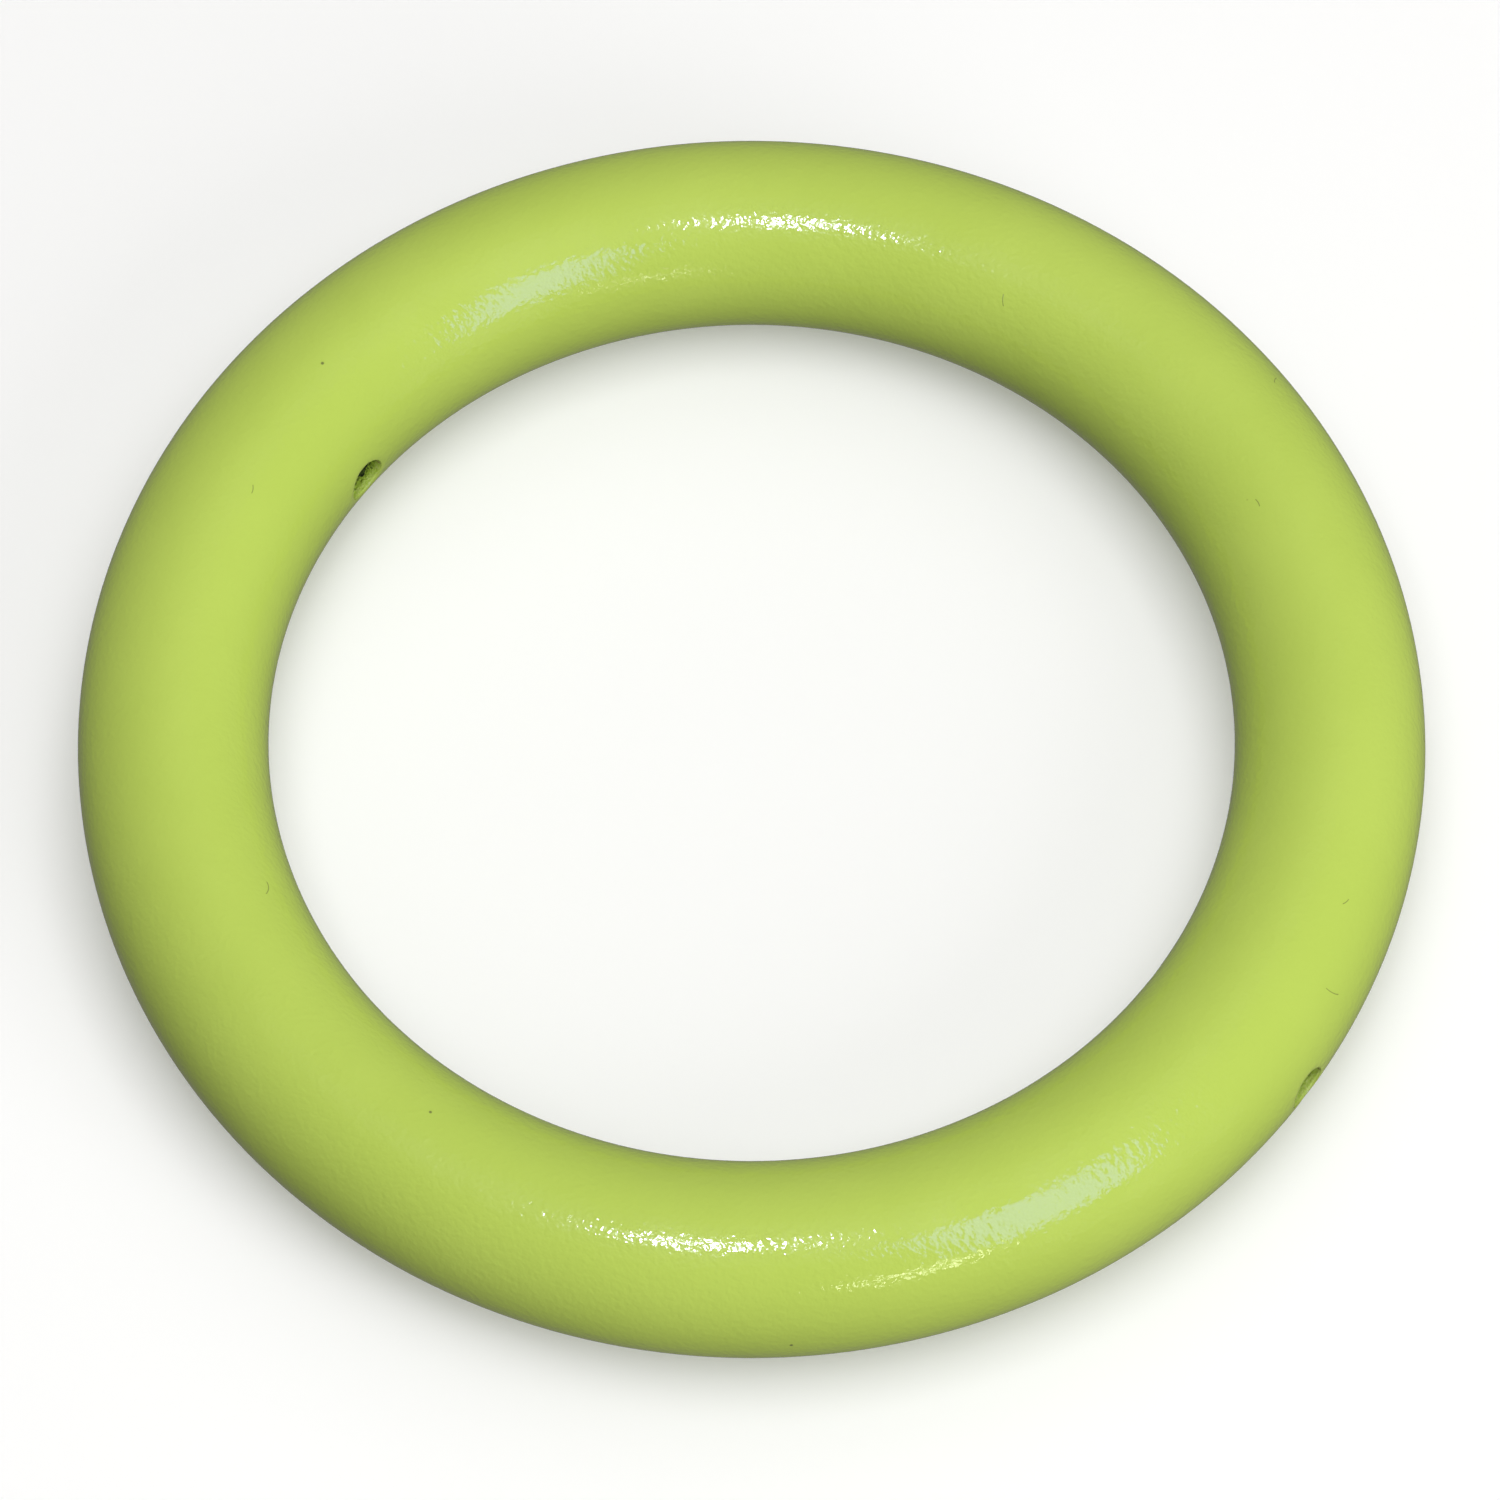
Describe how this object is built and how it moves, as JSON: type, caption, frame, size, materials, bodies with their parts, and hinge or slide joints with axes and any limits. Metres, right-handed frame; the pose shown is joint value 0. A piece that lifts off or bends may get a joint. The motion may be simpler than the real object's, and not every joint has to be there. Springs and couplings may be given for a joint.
{
  "type": "flying ring",
  "caption": "Round-section throwing ring for lawn games: a cellular rubber core in a glossy lime skin, with a narrow straight hole drilled along one diameter.",
  "frame": {"origin": "centre of the ring, on its axis and on the mid-plane where the half skins meet", "axes": "+Z along the ring's axis, +X along the drilled hole towards the side that it passes through"},
  "size_m": [0.1779, 0.178, 0.0252],
  "materials": {
    "lime_skin": "glossy lime lacquer over dense rubber, finely pebbled",
    "rubber_cement": "dull set rubber cement",
    "cellular_core": "dull dark cellular rubber with fine open cells where it is cut"
  },
  "bodies": {
    "root": {"upper_skin": "lime_skin", "lower_skin": "lime_skin", "outer_seam_cement": "rubber_cement", "inner_seam_cement": "rubber_cement", "core_cord": "cellular_core", "core_splice": "rubber_cement"}
  },
  "joints": []
}
